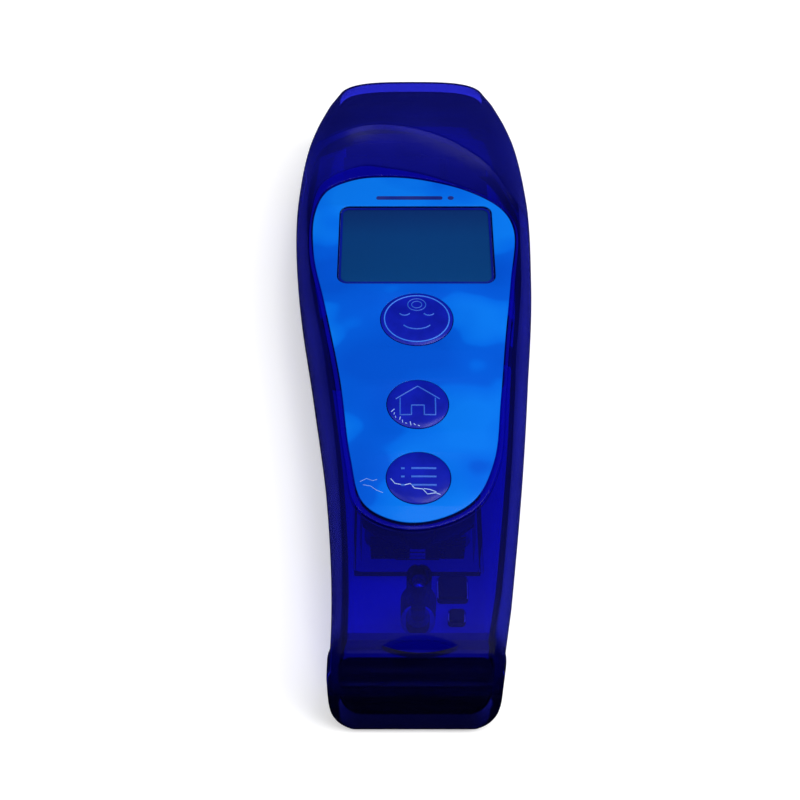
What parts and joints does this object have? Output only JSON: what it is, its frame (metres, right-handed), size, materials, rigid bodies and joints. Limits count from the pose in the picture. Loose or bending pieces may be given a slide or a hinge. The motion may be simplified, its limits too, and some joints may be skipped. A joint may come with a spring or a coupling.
{
  "type": "infrared thermometer",
  "caption": "Handheld non-contact infrared thermometer: translucent blue tapered case, labelled front with display and oval buttons, pull-off head cap, battery door on the back.",
  "frame": {"origin": "on the rest plane under the middle of the device, which lies on its back", "axes": "+Y towards the measuring head, +Z out of the labelled front, +X to the right when the display is read"},
  "size_m": [0.0552, 0.165, 0.0282],
  "materials": {
    "blue_case": "translucent deep-blue moulded plastic, polished",
    "clear_blue": "clear blue film and plate, polished",
    "printed_label": "bright blue printed overlay film, satin",
    "button_film": "dark blue domed button, satin gloss",
    "display_glass": "blue-tinted clear window",
    "lcd": "unlit liquid-crystal panel, teal",
    "black_plastic": "black moulded plastic",
    "rubber": "soft black rubber",
    "circuit_board": "green solder-masked laminate",
    "steel": "zinc-plated or nickel-plated steel",
    "brass_horn": "bright gilt reflector",
    "battery_sleeve": "plain printed cell sleeve",
    "clear_lens": "clear moulded optics",
    "amber_film": "amber polyimide and elastomer"
  },
  "bodies": {
    "body": {"front_shell": "blue_case", "rear_shell": "blue_case", "label_margin": "clear_blue", "nose_plate": "clear_blue", "battery_cradle": "clear_blue", "front_label": "printed_label", "display_window": "display_glass", "lcd_panel": "lcd", "tail_insert": "black_plastic", "lcd_frame": "black_plastic", "face_switch": "black_plastic", "home_switch": "black_plastic", "memory_switch": "black_plastic", "microcontroller": "black_plastic", "memory_chip": "black_plastic", "buzzer": "black_plastic", "optics_bracket": "black_plastic", "left_projector_tube": "black_plastic", "right_projector_tube": "black_plastic", "service_plug": "rubber", "reset_plug": "rubber", "main_board": "circuit_board", "sensor_board": "circuit_board", "case_screw_tail": "steel", "case_screw_left": "steel", "case_screw_right": "steel", "board_screw_tail": "steel", "board_screw_head": "steel", "crystal_can": "steel", "ir_sensor": "steel", "contact_tail_left": "steel", "contact_head_left": "steel", "contact_tail_right": "steel", "contact_head_right": "steel", "sensor_horn": "brass_horn", "cell_tail_left": "battery_sleeve", "cell_head_left": "battery_sleeve", "cell_tail_right": "battery_sleeve", "cell_head_right": "battery_sleeve", "left_projector_lens": "clear_lens", "right_projector_lens": "clear_lens", "left_led": "clear_lens", "right_led": "clear_lens", "zebra_strip": "amber_film", "flex_cable": "amber_film"},
    "cap": {"protective_cap": "blue_case"},
    "face_key": {"face_button": "button_film"},
    "home_key": {"home_button": "button_film"},
    "memory_key": {"memory_button": "button_film"},
    "door": {"battery_door": "blue_case", "rear_label": "printed_label"}
  },
  "joints": [
    {"name": "cap_pull", "type": "slide", "parent": "body", "child": "cap", "axis": [0, 1, 0], "range_m": [0, 0.045]},
    {"name": "face_press", "type": "slide", "parent": "body", "child": "face_key", "axis": [0, 0, -1], "range_m": [0, 0.0005], "stiffness_N_per_m": 800},
    {"name": "home_press", "type": "slide", "parent": "body", "child": "home_key", "axis": [0, 0, -1], "range_m": [0, 0.0005], "stiffness_N_per_m": 800},
    {"name": "memory_press", "type": "slide", "parent": "body", "child": "memory_key", "axis": [0, 0, -1], "range_m": [0, 0.0005], "stiffness_N_per_m": 800},
    {"name": "door_swing", "type": "hinge", "parent": "body", "child": "door", "pos_m": [0, 0.0464, 0.0009], "axis": [1, 0, 0], "range_deg": [0, 75]}
  ]
}
